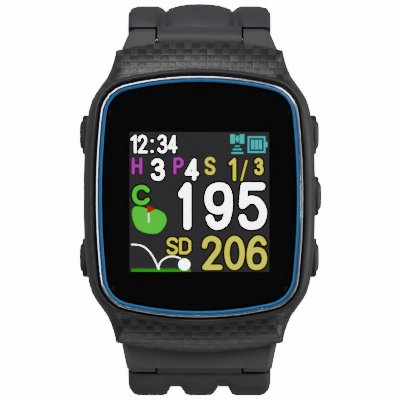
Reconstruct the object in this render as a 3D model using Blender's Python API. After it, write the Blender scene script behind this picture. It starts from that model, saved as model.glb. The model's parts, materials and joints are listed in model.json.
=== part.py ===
"""Golf GPS watch: display case with five push buttons and a two-piece rubber strap.

Frame: the display looks along +Z, 12 o'clock is +Y and 3 o'clock is +X. The origin is the middle
of the flat case back. The strap is unbuckled and stands as an open arch below the case. The
longer half, at 6 o'clock, runs down and then along the table; the shorter half, at 12 o'clock,
hangs down and carries the buckle. Lengths are in metres.
"""
import math

import bmesh
import bpy
import numpy as np

MM = 0.001
GAP = 0.3 * MM  # between pieces that rest on one another
FIT = 0.1 * MM  # between small pieces that are set into one another

# Heights above the case back
BODY_BOTTOM = 0.6 * MM
BUTTON_AXIS_Z = 5.2 * MM
PARTING_Z = 7.7 * MM
LEDGE_Z = 11.7 * MM
LENS_TOP_Z = 13.0 * MM
RING_TOP_Z = 13.3 * MM

# Accent ring: the middle line of its rounded outline, as arcs for the side, corner and end
RING_HALF_WIDTH = 16.28 * MM
RING_HALF_LENGTH = 19.1 * MM
RING_SIDE_RADIUS = 125.0 * MM
RING_END_RADIUS = 52.0 * MM
RING_CORNER_RADIUS = 4.6 * MM

# Case outline: one quarter, from 3 o'clock to the corner of the hood, then an end arc
CASE_SIDE = [(19.1, 0.0), (19.0, 7.0), (18.25, 14.2), (17.05, 17.1), (15.2, 19.7),
             (14.2, 22.2), (13.8, 24.0)]
CASE_HALF_LENGTH = 25.65 * MM
CASE_END_RADIUS = 61.0 * MM

# Buttons: the side they are on, their place along the case, and how far they stand out
BUTTONS = {
    "button_upper_left": (-1, 10.2 * MM, 19.85 * MM),
    "button_lower_left": (-1, -10.1 * MM, 19.85 * MM),
    "button_upper_right": (1, 10.2 * MM, 19.85 * MM),
    "button_middle_right": (1, 0.1 * MM, 20.24 * MM),
    "button_lower_right": (1, -10.1 * MM, 19.85 * MM),
}
BUTTON_LENGTH = 5.2 * MM
BUTTON_HEIGHT = 3.4 * MM
BUTTON_CAP_DEPTH = 1.55 * MM
COLLAR_LENGTH = 6.8 * MM
COLLAR_HEIGHT = 4.4 * MM
STEM_RADIUS = 0.8 * MM
STEM_BORE_RADIUS = 1.0 * MM

# Display and what stands under it
DISPLAY_CENTRE_Y = -0.9 * MM
PANEL_SIZE = (25.6 * MM, 26.6 * MM, 0.85 * MM)

# Back cover: its screws, and the charging contacts in a row across it
SCREW_PLACES = [(sx * 12.3 * MM, sy * 14.0 * MM) for sx in (-1, 1) for sy in (-1, 1)]
CONTACT_PLACES = [(i - 1.5) * 2.54 * MM for i in range(4)]
CONTACT_Y = -10.5 * MM

# Strap hinges: the pin's place in the Y, Z plane
UPPER_PIN = (25.7 * MM, 3.9 * MM)
LOWER_PIN = (-26.6 * MM, 3.5 * MM)
PIN_RADIUS = 0.75 * MM
PIN_TIP_RADIUS = 0.45 * MM
TONGUE_HALF_WIDTH = 7.0 * MM
LUG_INNER_X = 7.3 * MM
SLEEVE_RADIUS = 2.0 * MM
UPPER_NOSE = 2.15 * MM  # radius of the lugs' round ends about the pins
LOWER_NOSE = 2.55 * MM

# Strap routes from the pin: (length, heading at its end) with 0 outward and -90 straight down
UPPER_ROUTE = [(3.0, -42), (4.6, -84), (19.0, -98), (24.0, -99)]
LOWER_ROUTE = [(3.0, -38), (4.8, -84), (36.0, -98), (35.0, -180), (22.0, -180)]
STRAP_START = 1.0 * MM  # from the pin; its shoulders are hollowed round the lugs' noses
STRAP_HALF_WIDTH = 11.9 * MM
STRAP_END_HALF_WIDTH = 9.2 * MM
SHOULDER_LENGTH = 9.0 * MM  # full width as far as this from the pin
RIBS_BEGIN = 3.4 * MM  # where the lower strap's ribs rise out of its smooth start
RIBS_GROW = 3.0 * MM
DOME_GROW = 6.0 * MM  # over which the upper strap's middle panel rises
UPPER_THICKNESS = 3.9 * MM
LOWER_THICKNESS = 4.0 * MM
TONGUE_HEIGHT = 1.9 * MM  # its top above the pin, level with the strap's outer face
STRAP_TIP = 9.0 * MM  # length of the lower strap's rounded tip
HOLE_COUNT = 8
HOLE_PITCH = 6.0 * MM
HOLE_FROM_TIP = 14.0 * MM
PRONG_X = 3.7 * MM
BUCKLE_X = 11.6 * MM
KEEPER_REST = 11.0 * MM  # from the buckle's pin, along the strap

MATERIALS = {
    "black_resin": ((0.030, 0.030, 0.032), 0.45, 0.0),
    "carbon_shell": ((0.045, 0.045, 0.047), 0.35, 0.0),
    "polished_steel": ((0.75, 0.78, 0.80), 0.15, 1.0),
    "blue_anodised": ((0.020, 0.125, 0.300), 0.30, 1.0),
    "lens_glass": ((0.004, 0.004, 0.004), 0.05, 0.0),
    "strap_rubber": ((0.055, 0.055, 0.062), 0.60, 0.0),
    "seal_rubber": ((0.020, 0.020, 0.020), 0.75, 0.0),
    "display_glass": ((0.020, 0.020, 0.022), 0.10, 0.0),
    "white_plastic": ((0.700, 0.700, 0.700), 0.50, 0.0),
    "grey_plastic": ((0.120, 0.120, 0.125), 0.50, 0.0),
    "circuit_board": ((0.010, 0.090, 0.035), 0.45, 0.0),
    "tin_plate": ((0.550, 0.550, 0.560), 0.30, 1.0),
    "ceramic": ((0.600, 0.540, 0.420), 0.60, 0.0),
    "battery_foil": ((0.400, 0.400, 0.420), 0.35, 1.0),
    "flex_film": ((0.350, 0.130, 0.030), 0.40, 0.0),
    "gold_plate": ((0.850, 0.600, 0.230), 0.25, 1.0),
    "spring_steel": ((0.450, 0.450, 0.460), 0.30, 1.0),
    "brushed_buckle": ((0.100, 0.100, 0.110), 0.35, 1.0),
}


def material(name):
    """The named material, made the first time it is asked for."""
    found = bpy.data.materials.get(name)
    if found:
        return found
    colour, roughness, metallic = MATERIALS[name]
    made = bpy.data.materials.new(name)
    made.use_nodes = True
    shader = made.node_tree.nodes["Principled BSDF"]
    shader.inputs["Base Color"].default_value = (*colour, 1.0)
    shader.inputs["Roughness"].default_value = roughness
    shader.inputs["Metallic"].default_value = metallic
    return made


def make_object(name, vertices, faces, finish, origin=(0, 0, 0), sharp=35):
    """A mesh object whose vertices are given in world coordinates and whose origin is `origin`."""
    mesh = bpy.data.meshes.new(name)
    placed = [tuple(c - o for c, o in zip(v, origin)) for v in vertices]
    mesh.from_pydata(placed, [], faces)
    work = bmesh.new()
    work.from_mesh(mesh)
    bmesh.ops.recalc_face_normals(work, faces=work.faces)
    work.to_mesh(mesh)
    work.free()
    for polygon in mesh.polygons:
        polygon.use_smooth = True
    mesh.set_sharp_from_angle(angle=math.radians(sharp))
    made = bpy.data.objects.new(name, mesh)
    made.location = origin
    if finish:
        made.data.materials.append(material(finish))
    bpy.context.collection.objects.link(made)
    return made


def skin(loops, ring=False):
    """Vertices and faces over matching loops: capped at both ends, or joined up as a ring."""
    count = len(loops[0])
    vertices = [point for loop in loops for point in loop]
    faces = []
    last = len(loops) if ring else len(loops) - 1
    for k in range(last):
        low = k * count
        high = (k + 1) % len(loops) * count
        for i in range(count):
            j = (i + 1) % count
            faces.append((low + i, low + j, high + j, high + i))
    if not ring:
        faces.append(tuple(range(count - 1, -1, -1)))
        faces.append(tuple(range((len(loops) - 1) * count, len(loops) * count)))
    return vertices, faces


def join(parts):
    """Several (vertices, faces) pairs as one, still separate islands."""
    vertices, faces = [], []
    for part_vertices, part_faces in parts:
        start = len(vertices)
        vertices += part_vertices
        faces += [tuple(start + i for i in face) for face in part_faces]
    return vertices, faces


def box_solid(low, high):
    """Vertices and faces of a box between two corners."""
    loops = []
    for z in (low[2], high[2]):
        loops.append([(low[0], low[1], z), (high[0], low[1], z),
                      (high[0], high[1], z), (low[0], high[1], z)])
    return skin(loops)


def centred_box(centre, size):
    """Vertices and faces of a box about a centre."""
    low = [c - s / 2 for c, s in zip(centre, size)]
    high = [c + s / 2 for c, s in zip(centre, size)]
    return box_solid(low, high)


def turned(profile, centre, axis, sides=16):
    """A capped solid of revolution: (distance along the axis, radius) pairs from end to end."""
    loops = []
    for along, radius in profile:
        loop = []
        for i in range(sides):
            turn = 2 * math.pi * i / sides
            across, up = radius * math.cos(turn), radius * math.sin(turn)
            offset = {"X": (along, across, up), "Y": (up, along, across),
                      "Z": (across, up, along)}[axis]
            loop.append(tuple(c + o for c, o in zip(centre, offset)))
        loops.append(loop)
    return skin(loops)


def prism(outline, x_low, x_high):
    """A solid along X whose Y, Z outline is given."""
    return skin([[(x, y, z) for y, z in outline] for x in (x_low, x_high)])


def cutter(name, solid):
    """An object that only serves a Boolean modifier."""
    made = make_object(name, *solid, None)
    made.hide_render = True
    made.display_type = "WIRE"
    return made


def combine(target, tool, operation, overlapping=False):
    """Adds or cuts away `tool` with an exact Boolean modifier; its own islands may overlap."""
    modifier = target.modifiers.new(tool.name, "BOOLEAN")
    modifier.operation = operation
    modifier.solver = "EXACT"
    modifier.use_self = overlapping
    modifier.object = tool


def arc(centre, radius, start, end, count):
    """Points along an arc, with its angles in degrees."""
    turns = [math.radians(start + (end - start) * i / (count - 1)) for i in range(count)]
    return [(centre[0] + radius * math.cos(t), centre[1] + radius * math.sin(t)) for t in turns]


def smooth_curve(points, steps):
    """A curve through the points (Catmull-Rom), level with the first and last spans at its ends."""
    padded = [points[0]] + list(points) + [points[-1]]
    curve = []
    for before, start, end, after in zip(padded, padded[1:], padded[2:], padded[3:]):
        for i in range(steps):
            t = i / steps
            curve.append(tuple(
                0.5 * (2 * s + (e - b) * t + (2 * b - 5 * s + 4 * e - a) * t ** 2
                       + (3 * s - b - 3 * e + a) * t ** 3)
                for b, s, e, a in zip(before, start, end, after)))
    curve.append(tuple(points[-1]))
    return curve


def mirrored(quarter):
    """A closed outline from its quarter between +X and +Y, both ends on an axis."""
    left = [(-x, y) for x, y in reversed(quarter[:-1])]
    upper = quarter + left
    return upper + [(x, -y) for x, y in reversed(upper[1:-1])]


def case_quarter():
    """The case outline from 3 o'clock round the hood's corner to 12 o'clock."""
    side = smooth_curve([(x * MM, y * MM) for x, y in CASE_SIDE], 2)
    corner = [(13.72 * MM, 24.13 * MM), (13.5 * MM, 24.2 * MM)]
    end = []
    for x in (12.6, 10.8, 8.6, 6.0, 3.0, 0.0):
        across = x * MM
        end.append((across, CASE_HALF_LENGTH - across ** 2 / (2 * CASE_END_RADIUS)))
    return side + corner + end


CASE_OUTLINE = mirrored(case_quarter())
STATIONS = [math.atan2(y, x) % (2 * math.pi) for x, y in CASE_OUTLINE]


def offset_outline(outline, distance):
    """An outline moved along its own normals, outward where distance is positive."""
    moved = []
    for i, (x, y) in enumerate(outline):
        x0, y0 = outline[i - 1]
        x1, y1 = outline[(i + 1) % len(outline)]
        run, rise = x1 - x0, y1 - y0
        length = math.hypot(run, rise)
        moved.append((x + distance * rise / length, y - distance * run / length))
    return moved


def at_stations(outline):
    """An outline's points in the direction of each station, so that all loops match."""
    points = np.array(outline)
    angles = np.arctan2(points[:, 1], points[:, 0]) % (2 * math.pi)
    order = np.argsort(angles)
    radii = np.hypot(points[:, 0], points[:, 1])[order]
    found = np.interp(STATIONS, angles[order], radii, period=2 * math.pi)
    return [(r * math.cos(t), r * math.sin(t)) for r, t in zip(found, STATIONS)]


def ring_outline(offset):
    """The accent ring's outline grown by `offset`: side, corner and end arcs, each tangent."""
    side_centre = np.array([RING_HALF_WIDTH - RING_SIDE_RADIUS, 0.0])
    end_centre = np.array([0.0, RING_HALF_LENGTH - RING_END_RADIUS])
    from_side = RING_SIDE_RADIUS - RING_CORNER_RADIUS
    from_end = RING_END_RADIUS - RING_CORNER_RADIUS
    apart = end_centre - side_centre
    distance = np.linalg.norm(apart)
    along = (from_side ** 2 - from_end ** 2 + distance ** 2) / (2 * distance)
    across = math.sqrt(from_side ** 2 - along ** 2)
    unit = apart / distance
    corner = side_centre + unit * along + np.array([-unit[1], unit[0]]) * across
    start = math.degrees(math.atan2(*(corner - side_centre)[::-1]))
    end = math.degrees(math.atan2(*(corner - end_centre)[::-1]))
    quarter = arc(side_centre, RING_SIDE_RADIUS + offset, 0, start, 24)
    quarter += arc(corner, RING_CORNER_RADIUS + offset, start, end, 16)[1:]
    quarter += arc(end_centre, RING_END_RADIUS + offset, end, 90, 24)[1:]
    return mirrored(quarter)


def ring_loop(offset, z, every=1):
    """The accent ring's outline at a height, grown by `offset`; hidden pieces skip stations."""
    return [(x, y, z) for x, y in at_stations(ring_outline(offset))[::every]]


def case_loop(offset, side_z, end_z=None):
    """The case outline at a height, which may fall from the sides to the hoods' ends."""
    loop = []
    for x, y in at_stations(offset_outline(CASE_OUTLINE, offset)):
        share = slope_share(y)
        z = side_z if end_z is None else side_z + (end_z - side_z) * share
        loop.append((x, y, z))
    return loop


def slope_share(y):
    """0 along the case's sides and 1 at its ends, turning smoothly where the hoods begin."""
    share = min(max((abs(y) - 13 * MM) / (12 * MM), 0.0), 1.0)
    return share * share * (3 - 2 * share)


def between_loop(share, side_z, end_z, ring_offset):
    """A loop on the way from the ring (share 0) to the case outline (share 1)."""
    loop = []
    inner = at_stations(ring_outline(ring_offset))
    outer = at_stations(CASE_OUTLINE)
    for (x0, y0), (x1, y1) in zip(inner, outer):
        x, y = x0 + (x1 - x0) * share, y0 + (y1 - y0) * share
        loop.append((x, y, side_z + (end_z - side_z) * slope_share(y1)))
    return loop


def oval(length, height, sides=12):
    """A stadium outline: (across, up) points, with round ends along its length."""
    radius = height / 2
    straight = length / 2 - radius
    right = arc((straight, 0), radius, -90, 90, sides // 2)
    left = arc((-straight, 0), radius, 90, 270, sides // 2)
    return right + left


def side_loop(side, x, y, outline):
    """A small outline set into the case's side at a distance from the middle."""
    return [(side * x, y + across, BUTTON_AXIS_Z + up) for across, up in outline]


def build_case_body():
    loops = [
        case_loop(-2.0 * MM, BODY_BOTTOM),
        case_loop(-0.9 * MM, 2.0 * MM),
        case_loop(-0.15 * MM, 4.2 * MM),
        case_loop(-0.15 * MM, PARTING_Z, PARTING_Z - 0.5 * MM),
        ring_loop(-0.4 * MM, PARTING_Z - 0.5 * MM),
        ring_loop(-0.4 * MM, 2.9 * MM),
        ring_loop(-3.0 * MM, 2.9 * MM),
        ring_loop(-3.0 * MM, 1.9 * MM),
        ring_loop(-1.0 * MM, 1.9 * MM),
        ring_loop(-1.0 * MM, BODY_BOTTOM),
    ]
    body = make_object("case_body", *skin(loops, ring=True), "black_resin")

    added = lug_solids() + collar_solids()
    for x, y in SCREW_PLACES:
        added.append(turned([(2.1 * MM, 1.9 * MM), (6.1 * MM, 1.9 * MM)], (x, y, 0), "Z"))
    combine(body, cutter("case_additions", join(added)), "UNION", overlapping=True)

    cut = []
    for side, y, _ in BUTTONS.values():
        pocket = oval(BUTTON_LENGTH + 2 * FIT, BUTTON_HEIGHT + 2 * FIT)
        cut.append(skin([side_loop(side, x * MM, y, pocket) for x in (17.5, 22.0)]))
    combine(body, cutter("case_pockets", join(cut)), "DIFFERENCE")

    recesses = []
    for y, z in (UPPER_PIN, LOWER_PIN):
        half = TONGUE_HALF_WIDTH + 0.15 * MM
        recesses.append(turned([(-half, SLEEVE_RADIUS + GAP), (half, SLEEVE_RADIUS + GAP)],
                               (0, y, z), "X", 32))
    combine(body, cutter("hinge_recesses", join(recesses)), "DIFFERENCE")

    bores = []
    for side, y, _ in BUTTONS.values():
        bores.append(turned([(14.0 * MM * side, STEM_BORE_RADIUS), (19.0 * MM * side, STEM_BORE_RADIUS)],
                            (0, y, BUTTON_AXIS_Z), "X"))
    for y, z in (UPPER_PIN, LOWER_PIN):
        for side in (-1, 1):
            hole = [(side * 6.9 * MM, 0.6 * MM), (side * 9.2 * MM, 0.6 * MM)]
            bores.append(turned(hole, (0, y, z), "X", 12))
    for x, y in SCREW_PLACES:
        bores.append(turned([(1.0 * MM, 0.75 * MM), (5.2 * MM, 0.75 * MM)], (x, y, 0), "Z", 12))
    combine(body, cutter("case_bores", join(bores)), "DIFFERENCE")


def lug_solids():
    """Four lugs, and the bridge that covers the hinge between the two at 6 o'clock."""
    upper = [(22.0 * MM, 7.0 * MM), (25.0 * MM, 6.95 * MM), (26.5 * MM, 5.85 * MM),
             (27.2 * MM, 5.6 * MM)]
    upper += arc(UPPER_PIN, UPPER_NOSE, 28, -110, 9)
    upper += [(22.0 * MM, 1.4 * MM)]

    lower_pin = (-LOWER_PIN[0], LOWER_PIN[1])
    lower = [(22.0 * MM, 7.0 * MM), (25.4 * MM, 6.9 * MM), (27.5 * MM, 5.9 * MM),
             (28.3 * MM, 5.6 * MM)]
    lower += arc(lower_pin, LOWER_NOSE, 40, -110, 9)
    lower += [(22.0 * MM, 1.4 * MM)]
    bridge = [(22.0 * MM, 7.0 * MM), (25.6 * MM, 6.9 * MM), (27.9 * MM, 5.95 * MM),
              (28.45 * MM, 5.6 * MM)]
    bridge += arc(lower_pin, SLEEVE_RADIUS + GAP, 62, 160, 7)
    bridge += [(23.6 * MM, 1.6 * MM), (22.0 * MM, 1.4 * MM)]

    solids = []
    for side in (-1, 1):
        solids.append(lug(upper, UPPER_PIN, 1, side, 0.42))
        solids.append(lug(lower, lower_pin, -1, side, 0.20))
    placed = [(-y, z) for y, z in bridge]
    solids.append(prism(placed, -LUG_INNER_X - 0.2 * MM, LUG_INNER_X + 0.2 * MM))
    return solids


def lug(outline, pin, end, side, taper):
    """A lug that narrows towards its nose, its outer edges chamfered in towards the pin."""
    eased = [(pin[0] + (y - pin[0]) * 0.76, pin[1] + (z - pin[1]) * 0.76) for y, z in outline]
    loops = []
    for points, inset in ((outline, None), (outline, 0.9 * MM), (eased, 0.0)):
        loop = []
        for y, z in points:
            outer_x = 12.85 * MM - taper * (y - 24.5 * MM)
            x = LUG_INNER_X if inset is None else outer_x - inset
            loop.append((side * x, end * y, z))
        loops.append(loop)
    return skin(loops)


def collar_solids():
    """A raised oval collar on the case round each button."""
    solids = []
    for side, y, reach in BUTTONS.values():
        wide = oval(COLLAR_LENGTH, COLLAR_HEIGHT)
        lip = oval(COLLAR_LENGTH - 0.5 * MM, COLLAR_HEIGHT - 0.5 * MM)
        edge = reach - 0.45 * MM
        solids.append(skin([
            side_loop(side, 17.2 * MM, y, wide),
            side_loop(side, edge - 0.35 * MM, y, wide),
            side_loop(side, edge, y, lip),
        ]))
    return solids


def build_top_shell():
    loops = [
        case_loop(0, PARTING_Z + 0.15 * MM, PARTING_Z - 0.35 * MM),
        case_loop(0.02 * MM, 10.3 * MM, 8.9 * MM),
        between_loop(0.93, 11.0 * MM, 9.35 * MM, 1.9 * MM),
        between_loop(0.55, 11.9 * MM, 11.2 * MM, 1.9 * MM),
        between_loop(0.10, 12.45 * MM, 12.4 * MM, 1.9 * MM),
        ring_loop(1.85 * MM, 12.62 * MM),
        ring_loop(1.78 * MM, 12.75 * MM),
        ring_loop(1.62 * MM, 12.96 * MM),
        ring_loop(1.42 * MM, 13.03 * MM),
        ring_loop(1.24 * MM, 12.95 * MM),
        ring_loop(1.12 * MM, 12.75 * MM),
        ring_loop(1.12 * MM, LEDGE_Z),
        ring_loop(-1.6 * MM, LEDGE_Z),
        ring_loop(-1.6 * MM, 10.9 * MM),
        ring_loop(-0.4 * MM, 10.4 * MM),
        ring_loop(-0.4 * MM, PARTING_Z - 0.35 * MM),
    ]
    make_object("top_shell", *skin(loops, ring=True), "carbon_shell", sharp=28)


def build_rings_and_lens():
    low = LEDGE_Z + 0.1 * MM
    accent = [
        ring_loop(0.27 * MM, low),
        ring_loop(0.27 * MM, RING_TOP_Z - 0.2 * MM),
        ring_loop(-0.05 * MM, RING_TOP_Z - 0.12 * MM),
        ring_loop(-0.25 * MM, RING_TOP_Z - 0.3 * MM),
        ring_loop(-0.25 * MM, low),
    ]
    make_object("accent_ring", *skin(accent, ring=True), "blue_anodised")
    bezel = [
        ring_loop(0.75 * MM, low),
        ring_loop(0.75 * MM, RING_TOP_Z - 0.18 * MM),
        ring_loop(0.43 * MM, RING_TOP_Z),
        ring_loop(0.34 * MM, RING_TOP_Z - 0.08 * MM),
        ring_loop(0.34 * MM, low),
    ]
    make_object("bezel_ring", *skin(bezel, ring=True), "polished_steel")
    lens = [
        ring_loop(-0.32 * MM, 11.95 * MM),
        ring_loop(-0.32 * MM, LENS_TOP_Z - 0.25 * MM),
        ring_loop(-0.55 * MM, LENS_TOP_Z - 0.05 * MM),
        ring_loop(-0.95 * MM, LENS_TOP_Z),
    ]
    make_object("lens", *skin(lens), "lens_glass")
    gasket = [
        ring_loop(-0.5 * MM, 11.75 * MM, 2),
        ring_loop(-0.5 * MM, 11.9 * MM, 2),
        ring_loop(-1.4 * MM, 11.9 * MM, 2),
        ring_loop(-1.4 * MM, 11.75 * MM, 2),
    ]
    make_object("lens_gasket", *skin(gasket, ring=True), "seal_rubber")


def build_case_back():
    loops = [
        ring_loop(-3.4 * MM, 0.0, 2),
        ring_loop(-2.7 * MM, 0.55 * MM, 2),
        ring_loop(-1.2 * MM, 0.75 * MM, 2),
        ring_loop(-1.2 * MM, 1.5 * MM, 2),
        ring_loop(-3.2 * MM, 1.5 * MM, 2),
        ring_loop(-3.2 * MM, 1.8 * MM, 2),
    ]
    back = make_object("case_back", *skin(loops), "black_resin")
    holes = []
    for x, y in SCREW_PLACES:
        holes.append(turned([(-0.5 * MM, 1.45 * MM), (0.9 * MM, 1.45 * MM), (0.9 * MM, 0.8 * MM),
                             (2.5 * MM, 0.8 * MM)], (x, y, 0), "Z", 12))
    for x in CONTACT_PLACES:
        holes.append(turned([(-0.5 * MM, 0.95 * MM), (2.5 * MM, 0.95 * MM)], (x, CONTACT_Y, 0), "Z", 12))
    combine(back, cutter("back_holes", join(holes)), "DIFFERENCE")

    gasket = [
        ring_loop(-1.25 * MM, 1.58 * MM, 2),
        ring_loop(-1.25 * MM, 1.82 * MM, 2),
        ring_loop(-1.95 * MM, 1.82 * MM, 2),
        ring_loop(-1.95 * MM, 1.58 * MM, 2),
    ]
    make_object("case_back_gasket", *skin(gasket, ring=True), "seal_rubber")

    for number, (x, y) in enumerate(SCREW_PLACES, 1):
        profile = [(0.2 * MM, 1.05 * MM), (0.35 * MM, 1.25 * MM), (0.8 * MM, 1.25 * MM),
                   (0.8 * MM, 0.6 * MM), (4.6 * MM, 0.6 * MM), (4.9 * MM, 0.35 * MM)]
        make_object(f"back_screw_{number}", *turned(profile, (x, y, 0), "Z", 12), "spring_steel",
                    origin=(x, y, 0))
    for number, x in enumerate(CONTACT_PLACES, 1):
        profile = [(0.25 * MM, 0.65 * MM), (0.4 * MM, 0.8 * MM), (2.1 * MM, 0.8 * MM)]
        make_object(f"charging_contact_{number}", *turned(profile, (x, CONTACT_Y, 0), "Z", 12),
                    "gold_plate", origin=(x, CONTACT_Y, 0))


def build_buttons():
    for name, (side, y, reach) in BUTTONS.items():
        place = name.replace("button_", "")
        face = reach - BUTTON_CAP_DEPTH  # the cap's inner face
        cap = oval(BUTTON_LENGTH, BUTTON_HEIGHT)
        shoulder = oval(BUTTON_LENGTH - 0.5 * MM, BUTTON_HEIGHT - 0.5 * MM)
        crown = oval(BUTTON_LENGTH - 1.5 * MM, BUTTON_HEIGHT - 1.3 * MM)
        top = oval(BUTTON_LENGTH - 2.7 * MM, BUTTON_HEIGHT - 2.1 * MM)

        def stem(radius):
            return arc((0, 0), radius, -75, 75, 6) + arc((0, 0), radius, 105, 255, 6)

        clip_x = 15.1 * MM
        seal_x = 16.7 * MM
        stations = [
            (14.5 * MM, stem(0.6 * MM)),
            (14.65 * MM, stem(STEM_RADIUS)),
            (clip_x - 0.2 * MM, stem(STEM_RADIUS)),
            (clip_x - 0.2 * MM, stem(0.5 * MM)),
            (clip_x + 0.2 * MM, stem(0.5 * MM)),
            (clip_x + 0.2 * MM, stem(STEM_RADIUS)),
            (seal_x - 0.28 * MM, stem(STEM_RADIUS)),
            (seal_x - 0.28 * MM, stem(0.5 * MM)),
            (seal_x + 0.28 * MM, stem(0.5 * MM)),
            (seal_x + 0.28 * MM, stem(STEM_RADIUS)),
            (face, stem(STEM_RADIUS)),
            (face, cap),
            (reach - 0.65 * MM, cap),
            (reach - 0.28 * MM, shoulder),
            (reach - 0.06 * MM, crown),
            (reach, top),
        ]
        loops = [side_loop(side, x, y, outline) for x, outline in stations]
        origin = (side * face, y, BUTTON_AXIS_Z)
        make_object(name, *skin(loops), "black_resin", origin=origin)
        make_object(f"stem_clip_{place}", *c_clip(side * clip_x, y), "spring_steel", origin=origin)
        make_object(f"stem_seal_{place}", *o_ring(side * seal_x, y), "seal_rubber", origin=origin)
        build_switch(f"tact_switch_{place}", side, y)


def c_clip(x, y):
    """A snap ring round a button's stem, open towards the case back."""
    outer = arc((0, 0), 1.25 * MM, -60, 240, 11)
    inner = arc((0, 0), 0.56 * MM, 235, -55, 11)
    outline = outer + inner
    loops = []
    for offset in (-0.1 * MM, 0.1 * MM):
        loops.append([(x + offset, y + across, BUTTON_AXIS_Z + up) for across, up in outline])
    return skin(loops)


def o_ring(x, y):
    """A seal in the groove of a button's stem."""
    loops = []
    for i in range(12):
        turn = 2 * math.pi * i / 12
        loop = []
        for across, out in arc((0, 0.755 * MM), 0.185 * MM, 0, 288, 5):
            loop.append((x + across, y + out * math.cos(turn), BUTTON_AXIS_Z + out * math.sin(turn)))
        loops.append(loop)
    return skin(loops, ring=True)


def build_switch(name, side, y):
    """A side-push switch hung under the edge of the main board."""
    housing = centred_box((side * 12.75 * MM, y, 5.3 * MM), (1.5 * MM, 3.0 * MM, 1.9 * MM))
    switch = make_object(name, *housing, "tin_plate")
    plunger = turned([(side * 13.0 * MM, 0.55 * MM), (side * 13.8 * MM, 0.55 * MM)],
                     (0, y, BUTTON_AXIS_Z), "X", 10)
    combine(switch, cutter(f"plunger_of_{name}", plunger), "UNION")


def build_inner_parts():
    battery = centred_box((0, 0, 4.1 * MM), (20.4 * MM, 26.0 * MM, 3.6 * MM))
    add_bevel(make_object("battery", *battery, "battery_foil"), 0.5 * MM, 2)

    board = [ring_loop(-1.9 * MM, 6.4 * MM, 2), ring_loop(-1.9 * MM, 7.1 * MM, 2)]
    make_object("main_board", *skin(board), "circuit_board")

    lead = [(13.1, 5.0), (13.9, 5.0), (13.9, 6.25), (12.2, 6.25), (12.2, 6.1), (13.75, 6.1),
            (13.75, 5.15), (13.1, 5.15)]
    strip = [(y * MM, z * MM) for y, z in lead]
    make_object("battery_lead", *prism(strip, -2.0 * MM, 2.0 * MM), "flex_film")

    can = make_object("shield_can", *centred_box((-3.0 * MM, -3.0 * MM, 7.85 * MM),
                                                 (15.0 * MM, 13.0 * MM, 1.3 * MM)), "tin_plate")
    hollow = centred_box((-3.0 * MM, -3.0 * MM, 7.55 * MM), (14.5 * MM, 12.5 * MM, 1.4 * MM))
    combine(can, cutter("shield_can_hollow", hollow), "DIFFERENCE")

    antenna = centred_box((0, 15.0 * MM, 8.8 * MM), (15.0 * MM, 3.4 * MM, 3.2 * MM))
    add_bevel(make_object("gps_antenna", *antenna, "ceramic"), 0.3 * MM, 1)

    centre = (0, DISPLAY_CENTRE_Y, 0)
    wide, long, thick = PANEL_SIZE
    tray = centred_box((0, centre[1], 9.6 * MM), (wide + 2.0 * MM, long + 1.6 * MM, 1.6 * MM))
    chassis = make_object("display_chassis", *tray, "grey_plastic")
    pocket = centred_box((0, centre[1], 10.8 * MM), (wide + 0.4 * MM, long + 0.4 * MM, 2.0 * MM))
    combine(chassis, cutter("chassis_pocket", pocket), "DIFFERENCE")
    backlight = centred_box((0, centre[1], 10.4 * MM), (wide, long, 0.9 * MM))
    make_object("display_backlight", *backlight, "white_plastic")
    panel = centred_box((0, centre[1], 11.4 * MM), PANEL_SIZE)
    make_object("display_panel", *panel, "display_glass")

    end = centre[1] / MM - long / MM / 2
    flex = [(end - 0.1, 11.35), (end - 1.5, 11.35), (end - 1.5, 7.3), (end + 1.5, 7.3),
            (end + 1.5, 7.45), (end - 1.35, 7.45), (end - 1.35, 11.2), (end - 0.1, 11.2)]
    strip = [(y * MM, z * MM) for y, z in flex]
    make_object("display_flex", *prism(strip, -5.0 * MM, 5.0 * MM), "flex_film")


def add_bevel(target, width, segments):
    modifier = target.modifiers.new("edges", "BEVEL")
    modifier.width = width
    modifier.segments = segments
    modifier.limit_method = "ANGLE"
    modifier.angle_limit = math.radians(30)


def route_points(pin, outward, route, tip=0.0):
    """Stations along a strap: (distance, y, z, heading) from the pin, heading in radians."""
    y, z = pin
    stations = [(0.0, y, z, math.radians(route[0][1]))]
    heading = route[0][1]
    travelled = 0.0
    for length, end_heading in route:
        pieces = max(1, round(length / station_step(length, end_heading - heading)))
        for i in range(pieces):
            middle = math.radians(heading + (end_heading - heading) * (i + 0.5) / pieces)
            y += outward * length * MM / pieces * math.cos(middle)
            z += length * MM / pieces * math.sin(middle)
            travelled += length * MM / pieces
            turn = math.radians(heading + (end_heading - heading) * (i + 1) / pieces)
            stations.append((travelled, y, z, turn))
        heading = end_heading
    for share in (1.0, 0.7, 0.42, 0.2, 0.06):
        if tip:
            stations.append(station_at(stations, travelled - tip * share))
    return sorted(stations)


def station_step(length, turn):
    """Closer stations where the strap turns more."""
    per_degree = length / max(abs(turn), 0.5)
    return min(5.0, max(0.9, per_degree * 9))


def place_section(station, outward, section):
    """A cross-section's (x, height) points set square to the strap at a station."""
    _, y, z, heading = station
    up_y, up_z = -math.sin(heading) * outward, math.cos(heading)
    return [(x, y + h * up_y, z + h * up_z) for x, h in section]


def mirrored_section(half, bottom):
    """A full cross-section from its top half, listed from the middle outward, and its bottom."""
    right = half + bottom
    left = [(-x, h) for x, h in reversed(right) if x > 0]
    return right + left


def strap_half_width(narrowed):
    """From the full width (0) to the width at the buckle or the tip (1)."""
    return STRAP_HALF_WIDTH + (STRAP_END_HALF_WIDTH - STRAP_HALF_WIDTH) * narrowed


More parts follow.
